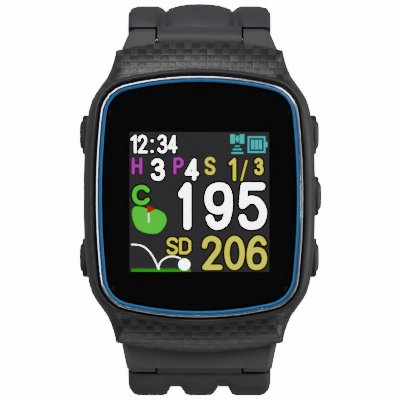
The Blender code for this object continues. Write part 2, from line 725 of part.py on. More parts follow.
def shaped_section(half, half_width, thick, full_thick):
    """A cross-section from its top half, drawn in millimetres at the full width and thickness."""
    top = thick / 2
    wide, high = half_width / STRAP_HALF_WIDTH, thick / full_thick
    placed = [(x * MM * wide, top + h * MM * high) for x, h in half]
    bottom = [(half_width, -top + 0.8 * MM), (half_width - 0.6 * MM, -top)]
    return mirrored_section(placed, bottom)


def lower_section(distance, total):
    """Three ribs and two grooves; thinner and rounder towards the tip."""
    half_width = strap_half_width(max(0.0, (distance - SHOULDER_LENGTH) / (total - SHOULDER_LENGTH)))
    from_tip = total - distance
    if from_tip < STRAP_TIP:
        half_width *= 0.35 + 0.65 * math.sqrt(1 - (1 - from_tip / STRAP_TIP) ** 2)
    thick = LOWER_THICKNESS - 1.6 * MM * min(1.0, distance / total * 2.2)
    grown = min(max((distance - RIBS_BEGIN) / RIBS_GROW, 0.0), 1.0)
    fade = 0.02 + 0.98 * min(max((from_tip - STRAP_TIP) / STRAP_TIP, 0.0), 1.0) * grown
    ribs = [(0, 0), (1.7, 0), (2.35, -0.25), (2.7, -0.8), (3.3, -1.75), (4.9, -1.75),
            (5.25, -1.0), (5.6, -0.25), (6.3, 0)]
    edge = [(10.4, 0), (11.2, -0.35), (11.7, -1.1), (11.9, -2.0)]
    half = [(x, h * fade) for x, h in ribs] + edge
    return shaped_section(half, half_width, thick, LOWER_THICKNESS)


def upper_section(distance, total):
    """A domed middle panel between two grooves, and a flat rib along each side."""
    narrowed = min(max((distance - SHOULDER_LENGTH) / (14 * MM), 0.0), 1.0)
    thick = UPPER_THICKNESS - 1.1 * MM * min(1.0, distance / total * 2.0)
    rise = min(max((distance - 2 * STRAP_START) / DOME_GROW, 0.0), 1.0)
    dome = [(0, 0.45), (1.8, 0.38), (3.4, 0.15), (4.6, -0.2)]
    half = [(x, h * rise) for x, h in dome]
    half += [(5.1, -0.4), (5.6, -1.0), (6.5, -1.0), (6.95, -0.35), (7.4, 0.0), (10.4, 0.0),
             (11.3, -0.3), (11.9, -1.3)]
    return shaped_section(half, strap_half_width(narrowed), thick, UPPER_THICKNESS)


def tongue_solids(pin, outward, route, nose):
    """The narrow end that reaches between the lugs, and the sleeve round the pin."""
    y, z = pin
    heading = math.radians(route[0][1])
    ahead = (outward * math.cos(heading), math.sin(heading))
    up = (-math.sin(heading) * outward, math.cos(heading))
    reach = nose + GAP
    profile = [(0.0, TONGUE_HEIGHT), (0.72 * reach, TONGUE_HEIGHT), (0.95 * reach, 0.8 * MM),
               (reach + 0.5 * MM, 0.7 * MM), (reach + 0.5 * MM, -1.4 * MM), (0.0, -1.4 * MM)]
    outline = [(y + ahead[0] * along + up[0] * height, z + ahead[1] * along + up[1] * height)
               for along, height in profile]
    tongue = prism(outline, -TONGUE_HALF_WIDTH, TONGUE_HALF_WIDTH)
    sleeve = turned([(-TONGUE_HALF_WIDTH, SLEEVE_RADIUS), (TONGUE_HALF_WIDTH, SLEEVE_RADIUS)],
                    (0, y, z), "X", 28)
    return tongue, sleeve


def build_strap(name, pin, outward, route, section, nose, tip=0.0):
    """A strap half: the swept body, hollowed to clear the lugs' noses, its tongue and sleeve."""
    stations = route_points(pin, outward, route, tip)
    total = stations[-1][0]
    y, z = pin
    kept = [s for s in stations if s[0] > STRAP_START + 0.4 * MM]
    start = station_at(stations, STRAP_START)
    loops = [place_section(s, outward, section(s[0], total)) for s in [start] + kept]
    strap = make_object(name, *skin(loops), "strap_rubber", origin=(0, y, z))
    hollow = turned([(-20 * MM, nose + GAP), (20 * MM, nose + GAP)], (0, y, z), "X", 40)
    combine(strap, cutter(f"{name}_hollow", hollow), "DIFFERENCE")
    tongue, sleeve = tongue_solids(pin, outward, route, nose)
    combine(strap, cutter(f"{name}_tongue", tongue), "UNION")
    combine(strap, cutter(f"{name}_sleeve", sleeve), "UNION")
    bore = turned([(-20 * MM, PIN_RADIUS + 0.2 * MM), (20 * MM, PIN_RADIUS + 0.2 * MM)],
                  (0, y, z), "X", 16)
    combine(strap, cutter(f"{name}_bore", bore), "DIFFERENCE")
    return strap, stations


def build_hinge_pin(name, pin):
    y, z = pin
    tip, shoulder = 8.8 * MM, TONGUE_HALF_WIDTH + 0.15 * MM
    profile = [(-tip, PIN_TIP_RADIUS), (-shoulder, PIN_TIP_RADIUS), (-shoulder, PIN_RADIUS),
               (shoulder, PIN_RADIUS), (shoulder, PIN_TIP_RADIUS), (tip, PIN_TIP_RADIUS)]
    make_object(name, *turned(profile, (0, y, z), "X", 14), "spring_steel", origin=(0, y, z))


def build_straps():
    build_hinge_pin("upper_hinge_pin", UPPER_PIN)
    build_hinge_pin("lower_hinge_pin", LOWER_PIN)
    lower, stations = build_strap("lower_strap", LOWER_PIN, -1, LOWER_ROUTE, lower_section,
                                  LOWER_NOSE, STRAP_TIP)
    total = stations[-1][0]
    holes = []
    for number in range(HOLE_COUNT):
        distance = total - HOLE_FROM_TIP - number * HOLE_PITCH
        station = station_at(stations, distance)
        for side in (-1, 1):
            holes.append(hole_solid(station, -1, side * PRONG_X))
    combine(lower, cutter("strap_holes", join(holes)), "DIFFERENCE")

    upper, stations = build_strap("upper_strap", UPPER_PIN, 1, UPPER_ROUTE, upper_section,
                                  UPPER_NOSE)
    build_buckle(upper, stations[-1])
    build_keeper(stations)


def station_at(stations, distance):
    """The station at a distance along the strap."""
    for before, after in zip(stations, stations[1:]):
        if before[0] <= distance <= after[0]:
            share = (distance - before[0]) / (after[0] - before[0])
            return tuple(b + (a - b) * share for b, a in zip(before, after))
    return stations[-1]


def hole_solid(station, outward, x):
    """A slot through the strap for one prong."""
    _, y, z, heading = station
    ahead = (outward * math.cos(heading), math.sin(heading))
    up = (-math.sin(heading) * outward, math.cos(heading))
    loops = []
    for height in (-4 * MM, 4 * MM):
        loop = []
        for along, across in oval(2.9 * MM, 1.9 * MM, 8):
            loop.append((x + across, y + ahead[0] * along + up[0] * height,
                         z + ahead[1] * along + up[1] * height))
        loops.append(loop)
    return skin(loops)


def build_buckle(upper, end):
    """The double-prong buckle that hangs from the end of the upper strap, and its keeper."""
    _, y, z, heading = end
    pin = (0, y, z)
    sleeve = turned([(-9.0 * MM, 1.7 * MM), (9.0 * MM, 1.7 * MM)], pin, "X", 20)
    combine(upper, cutter("buckle_sleeve", sleeve), "UNION")
    notch = centred_box((0, y, z), (11.0 * MM, 9.0 * MM, 5.4 * MM))
    combine(upper, cutter("prong_notch", notch), "DIFFERENCE")
    bore = turned([(-20 * MM, 0.95 * MM), (20 * MM, 0.95 * MM)], pin, "X", 16)
    combine(upper, cutter("buckle_bore", bore), "DIFFERENCE")

    profile = [(-BUCKLE_X - 0.8 * MM, 0.55 * MM), (-BUCKLE_X - 0.6 * MM, 0.75 * MM),
               (BUCKLE_X + 0.6 * MM, 0.75 * MM), (BUCKLE_X + 0.8 * MM, 0.55 * MM)]
    make_object("buckle_pin", *turned(profile, pin, "X", 14), "spring_steel", origin=pin)

    outer = oval_frame(2 * BUCKLE_X + 2.6 * MM, 17.0 * MM, 2.6 * MM)
    inner = oval_frame(2 * BUCKLE_X - 2.2 * MM, 12.2 * MM, 1.2 * MM)
    loops = []
    centre_z = z - 6.3 * MM
    for outline, depth in ((outer, -1.15), (outer, 1.15), (inner, 1.15), (inner, -1.15)):
        loops.append([(x, y + depth * MM, centre_z + up) for x, up in outline])
    frame = make_object("buckle_frame", *skin(loops, ring=True), "brushed_buckle", origin=pin)
    window = centred_box((0, y, z + 0.6 * MM), (19.2 * MM, 9 * MM, 5.0 * MM))
    combine(frame, cutter("buckle_strap_window", window), "DIFFERENCE")
    bore = turned([(-20 * MM, 0.9 * MM), (20 * MM, 0.9 * MM)], pin, "X", 16)
    combine(frame, cutter("buckle_frame_bore", bore), "DIFFERENCE")

    barrel = make_object("buckle_prongs", *turned([(-5.2 * MM, 1.5 * MM), (5.2 * MM, 1.5 * MM)],
                                                 pin, "X", 18), "polished_steel", origin=pin)
    prongs = []
    for side in (-1, 1):
        low, high = side * PRONG_X - 0.75 * MM, side * PRONG_X + 0.75 * MM
        outline = [(y + 0.2 * MM, z), (y + 1.5 * MM, z), (y + 2.6 * MM, z - 9.0 * MM),
                   (y + 2.5 * MM, z - 14.3 * MM), (y + 1.45 * MM, z - 14.3 * MM),
                   (y + 1.45 * MM, z - 9.0 * MM), (y + 0.2 * MM, z - 1.3 * MM)]
        prongs.append(prism(outline, low, high))
    combine(barrel, cutter("prong_arms", join(prongs)), "UNION")
    bore = turned([(-20 * MM, 0.95 * MM), (20 * MM, 0.95 * MM)], pin, "X", 16)
    combine(barrel, cutter("prong_bore", bore), "DIFFERENCE")


def build_keeper(stations):
    """The loose loop that slides on the upper strap, with room for the lower strap's tip."""
    total = stations[-1][0]
    loops = []
    for offset in (-3.0 * MM, 3.0 * MM):
        station = station_at(stations, total - KEEPER_REST + offset)
        outer = [(x, up - 0.9 * MM) for x, up in oval_frame(21.8 * MM, 8.0 * MM, 1.8 * MM)]
        inner = [(x, up - 0.9 * MM) for x, up in oval_frame(19.2 * MM, 5.6 * MM, 0.7 * MM)]
        loops.append((place_section(station, 1, outer), place_section(station, 1, inner)))
    (outer_low, inner_low), (outer_high, inner_high) = loops
    _, y, z, _ = station_at(stations, total - KEEPER_REST)
    ring = skin([outer_low, outer_high, inner_high, inner_low], ring=True)
    make_object("strap_keeper", *ring, "strap_rubber", origin=(0, y, z))


def oval_frame(width, height, radius):
    """A rounded rectangle as (across, up) points."""
    outline = []
    for sx, sy, start in ((1, 1, 0), (-1, 1, 90), (-1, -1, 180), (1, -1, 270)):
        centre = (sx * (width / 2 - radius), sy * (height / 2 - radius))
        outline += arc(centre, radius, start, start + 90, 4)
    return outline


def main():
    for old in list(bpy.data.objects):
        bpy.data.objects.remove(old, do_unlink=True)
    build_case_body()
    build_top_shell()
    build_rings_and_lens()
    build_case_back()
    build_buttons()
    build_inner_parts()
    build_straps()


main()
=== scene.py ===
"""Looks of the golf GPS watch: finished surfaces, the lit display, a pale floor and studio light.

Everything is in the CAD's frame, in metres: +Z is out of the display and +Y is 12 o'clock.
"""
import json
import math

import bmesh
import bpy
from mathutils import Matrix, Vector


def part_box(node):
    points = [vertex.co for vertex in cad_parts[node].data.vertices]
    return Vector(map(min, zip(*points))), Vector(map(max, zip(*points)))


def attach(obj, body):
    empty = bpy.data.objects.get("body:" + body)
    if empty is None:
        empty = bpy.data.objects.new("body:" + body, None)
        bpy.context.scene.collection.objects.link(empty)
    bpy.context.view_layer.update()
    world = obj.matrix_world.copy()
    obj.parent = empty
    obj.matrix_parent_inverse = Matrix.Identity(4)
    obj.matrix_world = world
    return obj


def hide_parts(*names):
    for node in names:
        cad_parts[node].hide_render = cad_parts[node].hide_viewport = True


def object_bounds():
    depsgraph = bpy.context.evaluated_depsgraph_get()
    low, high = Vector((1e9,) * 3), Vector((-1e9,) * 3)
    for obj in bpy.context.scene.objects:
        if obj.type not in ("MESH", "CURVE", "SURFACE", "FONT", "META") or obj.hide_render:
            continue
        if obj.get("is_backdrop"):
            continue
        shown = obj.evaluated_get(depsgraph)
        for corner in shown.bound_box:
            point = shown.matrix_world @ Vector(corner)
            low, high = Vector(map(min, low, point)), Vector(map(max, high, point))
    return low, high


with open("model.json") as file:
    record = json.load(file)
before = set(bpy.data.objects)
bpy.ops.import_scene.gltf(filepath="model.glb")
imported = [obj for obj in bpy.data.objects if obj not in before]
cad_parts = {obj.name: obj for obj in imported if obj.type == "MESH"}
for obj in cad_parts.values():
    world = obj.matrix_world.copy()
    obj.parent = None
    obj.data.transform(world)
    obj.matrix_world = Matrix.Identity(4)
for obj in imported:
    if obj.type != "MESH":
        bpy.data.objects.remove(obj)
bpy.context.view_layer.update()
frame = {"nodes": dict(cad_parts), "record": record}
NODES = frame["nodes"]
BODIES = frame["record"]["behaviour"]["bodies"]

MM = 0.001

# Display: the panel's lit square, counted in its own dots from the top left corner
DOTS = 176
LIT_WIDTH = 23.0 * MM
DOT = LIT_WIDTH / DOTS
panel_low, panel_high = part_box("display_panel")
lens_low, lens_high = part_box("lens")
LIT_LEFT = (panel_low.x + panel_high.x) / 2 - LIT_WIDTH / 2
LIT_TOP = (panel_low.y + panel_high.y) / 2 + LIT_WIDTH / 2
SCREEN_Z = panel_high.z + 0.01 * MM

# Heights of what is drawn on the display, above SCREEN_Z
FIELD_LEVEL = 0.0
EDGE_LEVEL = 0.015 * MM
DRAWN_LEVEL = 0.03 * MM
LINE_LEVEL = 0.045 * MM
BALL_LEVEL = 0.05 * MM
FLAG_LEVEL = 0.06 * MM

# Finished solids: vertices that meet, faces that are one flat, and edges that count as sharp
MERGE_DISTANCE = 0.002 * MM
FLAT_ANGLE = math.radians(0.1)
SHARP_ANGLE = math.radians(30)
CREASE_ANGLE = math.radians(40)

# Top shell: plain resin above this height and on faces steeper than this normal
WEAVE_TOP_Z = 12.58 * MM
WALL_NORMAL_Z = 0.15
LENS_EDGE_NORMAL_Z = 0.98

# Carbon weave: one tow's width, how far its edges wander, its threads, and where it fades in
TOW_X, TOW_Y = 1.26 * MM, 1.06 * MM
TOW_WANDER = 0.09 * MM
THREADS = 3
WEAVE_FADES = (15.0 * MM, 18.0 * MM)

# Case resin, the paler lugs at its ends (partly their own matt finish, partly painted light from the low
# lights), and how much paler or darker each end's lugs are painted, which is painted light
CASE_COLOUR = (0.022, 0.022, 0.024)
LUG_COLOUR_AND_PAINTED_LIGHT = (0.058, 0.058, 0.063)
LUG_FADES = (19.0 * MM, 24.5 * MM)
# painted light: the lower lugs are painted paler and the upper ones darker, for how the low lights fall
# on each end
LOWER_LUG_PAINTED_LIGHT, UPPER_LUG_PAINTED_LIGHT = 1.45, 0.92
CASE_GLOSS, LUG_GLOSS = 0.38, 0.54

# Scales of the noise in moulded surfaces: broad patches of colour, and the case's fine grain
PATCH_SCALE = 180.0
CASE_GRAIN = 9000.0
CASE_GRAIN_DEPTH = 0.006 * MM

# Light: the pale paper's brightness to the camera, and the light that comes from all round
PAPER_WHITE = 14.0
AMBIENT = 0.12
FLOOR_REACH = 3.0
AIM = Vector((0, 0, 0))
ARC_TURNS = range(95, 184, 22)
ARC_RADIUS = 0.68
ARC_HEIGHT = 0.43

# Camera: straight above the display, how wide it sees there, and its shift off the origin
VIEW_WIDTH = 65.72 * MM
CAMERA_DISTANCE = 0.9
CAMERA_SHIFT = (0.10 * MM, -0.575 * MM)
SENSOR_WIDTH = 36.0


# ---------------------------------------------------------------- shader nodes

def new_material(name):
    """A material with a Principled shader, and its node tree."""
    made = bpy.data.materials.new(name)
    made.use_nodes = True
    tree = made.node_tree
    return made, tree, tree.nodes["Principled BSDF"]


def link(tree, source, target):
    tree.links.new(source, target)


def position(tree):
    """The surface point in the CAD's frame."""
    return tree.nodes.new("ShaderNodeTexCoord").outputs["Object"]


def position_parts(tree):
    """The surface point's X and Y."""
    node = tree.nodes.new("ShaderNodeSeparateXYZ")
    link(tree, position(tree), node.inputs["Vector"])
    return node.outputs["X"], node.outputs["Y"]


def noise(tree, scale, detail=3.0, roughness=0.5):
    node = tree.nodes.new("ShaderNodeTexNoise")
    node.inputs["Scale"].default_value = scale
    node.inputs["Detail"].default_value = detail
    node.inputs["Roughness"].default_value = roughness
    link(tree, position(tree), node.inputs["Vector"])
    return node.outputs["Fac"]


def ramp(tree, value, low, high):
    """Maps a 0 to 1 value onto low to high."""
    node = tree.nodes.new("ShaderNodeMapRange")
    node.inputs["To Min"].default_value = low
    node.inputs["To Max"].default_value = high
    link(tree, value, node.inputs["Value"])
    return node.outputs["Result"]


def fade_in(tree, value, fades):
    """0 below the first of two fades, 1 above the second, and smooth between."""
    node = tree.nodes.new("ShaderNodeMapRange")
    node.interpolation_type = "SMOOTHSTEP"
    node.inputs["From Min"].default_value = fades[0]
    node.inputs["From Max"].default_value = fades[1]
    link(tree, value, node.inputs["Value"])
    return node.outputs["Result"]


def bump(tree, shader, height, distance):
    node = tree.nodes.new("ShaderNodeBump")
    node.inputs["Distance"].default_value = distance
    node.inputs["Strength"].default_value = 1.0
    link(tree, height, node.inputs["Height"])
    link(tree, node.outputs["Normal"], shader.inputs["Normal"])


def mix_colour(tree, factor, first, second):
    """Mixes two colours, each a tuple or a socket."""
    node = tree.nodes.new("ShaderNodeMix")
    node.data_type = "RGBA"
    for socket, colour in ((node.inputs["A"], first), (node.inputs["B"], second)):
        if isinstance(colour, tuple):
            socket.default_value = (*colour, 1.0)
        else:
            link(tree, colour, socket)
    link(tree, factor, node.inputs["Factor"])
    return node.outputs["Result"]


def math_node(tree, operation, first, second=None):
    """One step of arithmetic on numbers or sockets."""
    node = tree.nodes.new("ShaderNodeMath")
    node.operation = operation
    for socket, value in zip(node.inputs, (first, second)):
        if value is None:
            continue
        if isinstance(value, (int, float)):
            socket.default_value = value
        else:
            link(tree, value, socket)
    return node.outputs[0]


def scaled(colour, factor):
    return tuple(c * factor for c in colour)


# ---------------------------------------------------------------- materials

def moulded(name, colour, roughness, grain, depth, spread=0.25, specular=0.5):
    """Moulded plastic or rubber: a fine spark-eroded grain and slightly uneven gloss."""
    made, tree, shader = new_material(name)
    broad = noise(tree, PATCH_SCALE, 2.0)
    patchy = mix_colour(tree, broad, scaled(colour, 1 - spread), scaled(colour, 1 + spread))
    link(tree, patchy, shader.inputs["Base Color"])
    fine = noise(tree, grain, 4.0, 0.6)
    link(tree, ramp(tree, fine, roughness - 0.08, roughness + 0.08), shader.inputs["Roughness"])
    shader.inputs["Specular IOR Level"].default_value = specular
    bump(tree, shader, fine, depth)
    return made


def lug_resin(name):
    """The case's spark-eroded moulded plastic, more matt towards the lugs at its two ends, where it fades
    to a paler grey that is partly the lugs' own finish and partly painted light. The lower lugs are
    painted paler still and the upper ones a little darker: painted light.
    """
    made, tree, shader = new_material(name)
    _, y = position_parts(tree)
    ends = fade_in(tree, math_node(tree, "ABSOLUTE", y), LUG_FADES)
    broad = noise(tree, PATCH_SCALE, 2.0)
    fine = noise(tree, CASE_GRAIN, 4.0, 0.6)
    side = mix_colour(tree, broad, scaled(CASE_COLOUR, 0.8), scaled(CASE_COLOUR, 1.2))
    # painted light: the lower end's lugs are painted paler than the upper end's
    is_upper = math_node(tree, "GREATER_THAN", y, 0.0)
    painted_end_light = ramp(tree, is_upper, LOWER_LUG_PAINTED_LIGHT, UPPER_LUG_PAINTED_LIGHT)
    # the lugs' paler grey: partly their own matt finish, partly painted light where the low lights fall
    # on the ends
    lug = tree.nodes.new("ShaderNodeVectorMath")
    lug.operation = "SCALE"
    lug.inputs[0].default_value = LUG_COLOUR_AND_PAINTED_LIGHT
    link(tree, math_node(tree, "MULTIPLY", ramp(tree, broad, 0.9, 1.1), painted_end_light), lug.inputs["Scale"])
    link(tree, mix_colour(tree, ends, side, lug.outputs["Vector"]), shader.inputs["Base Color"])
    gloss = ramp(tree, ends, CASE_GLOSS, LUG_GLOSS)
    uneven = math_node(tree, "ADD", gloss, math_node(tree, "MULTIPLY", fine, 0.1))
    link(tree, uneven, shader.inputs["Roughness"])
    shader.inputs["Specular IOR Level"].default_value = 0.25
    bump(tree, shader, fine, CASE_GRAIN_DEPTH)
    return made


def metal(name, colour, roughness, brushed=0.0, anisotropy=0.0):
    """Metal with a faint uneven polish, brushed along X where asked."""
    made, tree, shader = new_material(name)
    shader.inputs["Metallic"].default_value = 1.0
    shader.inputs["Anisotropic"].default_value = anisotropy
    smear = noise(tree, 900.0, 3.0)
    link(tree, mix_colour(tree, smear, scaled(colour, 0.92), colour), shader.inputs["Base Color"])
    link(tree, ramp(tree, smear, roughness * 0.8, roughness * 1.25), shader.inputs["Roughness"])
    if brushed:
        stretch = tree.nodes.new("ShaderNodeMapping")
        stretch.inputs["Scale"].default_value = (0.03, 1.0, 1.0)
        link(tree, position(tree), stretch.inputs["Vector"])
        lines = tree.nodes.new("ShaderNodeTexNoise")
        lines.inputs["Scale"].default_value = 14000.0
        link(tree, stretch.outputs["Vector"], lines.inputs["Vector"])
        bump(tree, shader, lines.outputs["Fac"], brushed)
    return made


def anodised(name, colour):
    """Dyed anodising: part metal, part dye, so its colour holds from any side."""
    made, tree, shader = new_material(name)
    smear = noise(tree, 1500.0, 3.0)
    link(tree, mix_colour(tree, smear, scaled(colour, 0.9), colour), shader.inputs["Base Color"])
    link(tree, ramp(tree, smear, 0.30, 0.42), shader.inputs["Roughness"])
    shader.inputs["Metallic"].default_value = 0.25
    return made


def crown(tree, share):
    """1 in the middle of a tow and 0 at its edges."""
    doubled = math_node(tree, "SUBTRACT", math_node(tree, "MULTIPLY", share, 2.0), 1.0)
    edge = math_node(tree, "POWER", math_node(tree, "ABSOLUTE", doubled), 4.0)
    return math_node(tree, "SUBTRACT", 1.0, edge)


def threads(tree, share):
    """Fibre bundles inside one tow."""
    wave = math_node(tree, "SINE", math_node(tree, "MULTIPLY", share, 2 * math.pi * THREADS))
    return math_node(tree, "ADD", math_node(tree, "MULTIPLY", wave, 0.5), 0.5)


def weave_parts(tree, x, y):
    """A plain weave: which tow is on top, its fibres, its pillow shape and its own chance value."""
    wander = ramp(tree, noise(tree, 700.0, 2.0), -TOW_WANDER, TOW_WANDER)
    column = math_node(tree, "DIVIDE", math_node(tree, "ADD", x, wander), TOW_X)
    row = math_node(tree, "DIVIDE", math_node(tree, "SUBTRACT", y, wander), TOW_Y)
    whole_column = math_node(tree, "FLOOR", column)
    whole_row = math_node(tree, "FLOOR", row)
    parity = math_node(tree, "ADD", whole_column, whole_row)
    checker = math_node(tree, "MODULO", math_node(tree, "ADD", parity, 1000.0), 2.0)
    across = math_node(tree, "FRACT", column)
    along = math_node(tree, "FRACT", row)

    cell = tree.nodes.new("ShaderNodeCombineXYZ")
    link(tree, whole_column, cell.inputs["X"])
    link(tree, whole_row, cell.inputs["Y"])
    chance = tree.nodes.new("ShaderNodeTexWhiteNoise")
    chance.noise_dimensions = "2D"
    link(tree, cell.outputs["Vector"], chance.inputs["Vector"])

    fibre = tree.nodes.new("ShaderNodeMix")
    link(tree, checker, fibre.inputs["Factor"])
    link(tree, threads(tree, across), fibre.inputs["A"])
    link(tree, threads(tree, along), fibre.inputs["B"])
    pillow = math_node(tree, "MULTIPLY", crown(tree, across), crown(tree, along))
    return checker, fibre.outputs["Result"], pillow, chance.outputs["Value"]


def carbon(name):
    """Plain-weave carbon fibre under satin lacquer, the tows square to the case.

    The weave covers the hoods and fades into plain resin along the case's sides.
    """
    made, tree, shader = new_material(name)
    x, y = position_parts(tree)
    checker, fibre, pillow, chance = weave_parts(tree, x, y)

    uneven = noise(tree, 2600.0, 3.0)
    shade = math_node(tree, "ADD", math_node(tree, "MULTIPLY", fibre, 0.42),
                      math_node(tree, "MULTIPLY", uneven, 0.23))
    shade = math_node(tree, "ADD", shade, math_node(tree, "MULTIPLY", chance, 0.35))
    dark = mix_colour(tree, shade, (0.003, 0.003, 0.003), (0.015, 0.015, 0.015))
    light = mix_colour(tree, shade, (0.006, 0.006, 0.006), (0.048, 0.048, 0.048))
    patchy = ramp(tree, noise(tree, 260.0, 2.0), -0.1, 1.7)
    contrast = math_node(tree, "MULTIPLY", math_node(tree, "SUBTRACT", checker, 0.5), patchy)
    tows = mix_colour(tree, math_node(tree, "ADD", contrast, 0.45), dark, light)

    woven = fade_in(tree, math_node(tree, "ABSOLUTE", y), WEAVE_FADES)
    link(tree, mix_colour(tree, woven, CASE_COLOUR, tows), shader.inputs["Base Color"])
    link(tree, ramp(tree, fibre, 0.44, 0.34), shader.inputs["Roughness"])
    shader.inputs["Coat Weight"].default_value = 0.2
    shader.inputs["Coat Roughness"].default_value = 0.3
    height = math_node(tree, "ADD", math_node(tree, "MULTIPLY", pillow, 0.8),
                       math_node(tree, "MULTIPLY", fibre, 0.2))
    bump(tree, shader, math_node(tree, "MULTIPLY", height, woven), 0.05 * MM)
    return made


def lit(name, colour, strength):
    """A lit part of the display, its brightness a little uneven from place to place."""
    made, tree, shader = new_material(name)
    shader.inputs["Base Color"].default_value = (0, 0, 0, 1)
    shader.inputs["Roughness"].default_value = 0.5
    shader.inputs["Specular IOR Level"].default_value = 0.0
    shader.inputs["Emission Color"].default_value = (*colour, 1)
    uneven = ramp(tree, noise(tree, 350.0, 2.0), strength * 0.92, strength * 1.08)
    link(tree, uneven, shader.inputs["Emission Strength"])
    return made


def clear_glass(name):
    """Glass whose anti-reflection coating is taken as a lower index."""
    made, _, shader = new_material(name)
    shader.inputs["Base Color"].default_value = (1, 1, 1, 1)
    shader.inputs["Roughness"].default_value = 0.0
    shader.inputs["IOR"].default_value = 1.30
    shader.inputs["Transmission Weight"].default_value = 1.0
    return made


RESIN = moulded("case_resin", CASE_COLOUR, 0.42, CASE_GRAIN, CASE_GRAIN_DEPTH, specular=0.4)
CASE_RESIN = lug_resin("case_body_resin")
RUBBER = moulded("strap_rubber", (0.030, 0.029, 0.035), 0.55, 7000.0, 0.010 * MM)
SEAL = moulded("seal_rubber", (0.012, 0.012, 0.012), 0.7, 5000.0, 0.01 * MM)
CARBON = carbon("carbon_weave")
STEEL = metal("polished_steel", (0.74, 0.81, 0.90), 0.17)
BLUE = anodised("blue_anodised", (0.012, 0.13, 0.36))
DARK_STEEL = metal("dark_plated_steel", (0.16, 0.16, 0.17), 0.30, brushed=0.01 * MM, anisotropy=0.4)
BRIGHT_STEEL = metal("spring_steel", (0.55, 0.55, 0.56), 0.25, brushed=0.004 * MM)
TIN = metal("tin_plate", (0.62, 0.62, 0.63), 0.30, brushed=0.006 * MM)
GOLD = metal("gold_plate", (0.90, 0.62, 0.25), 0.22)
FOIL = metal("battery_foil", (0.50, 0.50, 0.52), 0.35)
BOARD = moulded("circuit_board", (0.010, 0.085, 0.035), 0.40, 3000.0, 0.01 * MM)
GREY = moulded("grey_plastic", (0.10, 0.10, 0.105), 0.5, 6000.0, 0.01 * MM)
WHITE = moulded("white_plastic", (0.70, 0.70, 0.70), 0.5, 6000.0, 0.005 * MM, spread=0.03)
CERAMIC = moulded("antenna_ceramic", (0.58, 0.52, 0.40), 0.55, 4000.0, 0.01 * MM, spread=0.06)
FILM = moulded("flex_film", (0.30, 0.11, 0.03), 0.35, 3000.0, 0.004 * MM)
PANEL = moulded("display_glass", (0.004, 0.004, 0.004), 0.2, 3000.0, 0.0)
GLASS = clear_glass("lens_glass")
BLACK_PRINT = moulded("black_print", (0.0015, 0.0014, 0.0014), 0.6, 3000.0, 0.0, specular=0.0)

WHITE_LIT = lit("lit_white", (1.0, 1.0, 1.0), 6.5)
YELLOW_LIT = lit("lit_yellow", (1.0, 0.96, 0.0), 1.0)
MAGENTA_LIT = lit("lit_magenta", (0.80, 0.0, 0.78), 0.62)
GREEN_LIT = lit("lit_green", (0.0, 1.0, 0.0), 0.82)
DEEP_GREEN_LIT = lit("lit_deep_green", (0.0, 0.80, 0.0), 0.60)
CYAN_LIT = lit("lit_cyan", (0.0, 0.85, 0.90), 0.66)
PIN_LIT = lit("lit_pin", (0.85, 1.0, 0.80), 2.2)
RED_LIT = lit("lit_red", (1.0, 0.02, 0.01), 0.5)
FIELD_LIT = lit("lit_field", (0.030, 0.028, 0.031), 1.0)
OUTLINE = lit("lit_outline", (0.0, 0.0, 0.0), 0.0)


# ---------------------------------------------------------------- finished CAD pieces

def finished(node, material, bevel):
    """Stands for a CAD node: the same solid, with its sharp edges eased and its rounds smooth."""
    work = bmesh.new()
    work.from_mesh(NODES[node].data)
    bmesh.ops.remove_doubles(work, verts=work.verts, dist=MERGE_DISTANCE)
    bmesh.ops.dissolve_limit(work, angle_limit=FLAT_ANGLE, verts=work.verts, edges=work.edges)
    if bevel:
        edges = [e for e in work.edges if len(e.link_faces) == 2 and e.calc_face_angle(0) > SHARP_ANGLE]
        bmesh.ops.bevel(work, geom=edges, offset=bevel, offset_type="OFFSET", segments=2,
                        profile=0.5, affect="EDGES", clamp_overlap=True)
    bmesh.ops.recalc_face_normals(work, faces=work.faces)
    mesh = bpy.data.meshes.new(f"{node}_finished")
    work.to_mesh(mesh)
    work.free()
    for polygon in mesh.polygons:
        polygon.use_smooth = True
    mesh.set_sharp_from_angle(angle=CREASE_ANGLE)
    mesh.materials.append(material)
    made = bpy.data.objects.new(f"{node}_finished", mesh)
    bpy.context.collection.objects.link(made)
    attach(made, body_of(node))
    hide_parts(node)
    return made


def body_of(node):
    """The CAD body that a node belongs to."""
    return next(body for body, members in BODIES.items() if node in members)


# Each node's material and how wide its sharp edges are eased
FINISHES = {
    "case_body": (CASE_RESIN, 0.22 * MM),
    "case_back": (RESIN, 0.10 * MM),
    "top_shell": (CARBON, 0.15 * MM),
    "bezel_ring": (STEEL, 0.06 * MM),
    "accent_ring": (BLUE, 0.05 * MM),
    "lens": (GLASS, 0.0),
    "lens_gasket": (SEAL, 0.0),
    "case_back_gasket": (SEAL, 0.0),
    "display_panel": (PANEL, 0.0),
    "display_backlight": (WHITE, 0.0),
    "display_chassis": (GREY, 0.0),
    "display_flex": (FILM, 0.0),
    "main_board": (BOARD, 0.0),
    "shield_can": (TIN, 0.05 * MM),
    "gps_antenna": (CERAMIC, 0.0),
    "battery": (FOIL, 0.0),
    "battery_lead": (FILM, 0.0),
    "upper_hinge_pin": (BRIGHT_STEEL, 0.0),
    "lower_hinge_pin": (BRIGHT_STEEL, 0.0),
    "upper_strap": (RUBBER, 0.18 * MM),
    "lower_strap": (RUBBER, 0.18 * MM),
    "strap_keeper": (RUBBER, 0.25 * MM),
    "buckle_frame": (DARK_STEEL, 0.25 * MM),
    "buckle_prongs": (DARK_STEEL, 0.15 * MM),
    "buckle_pin": (BRIGHT_STEEL, 0.05 * MM),
}
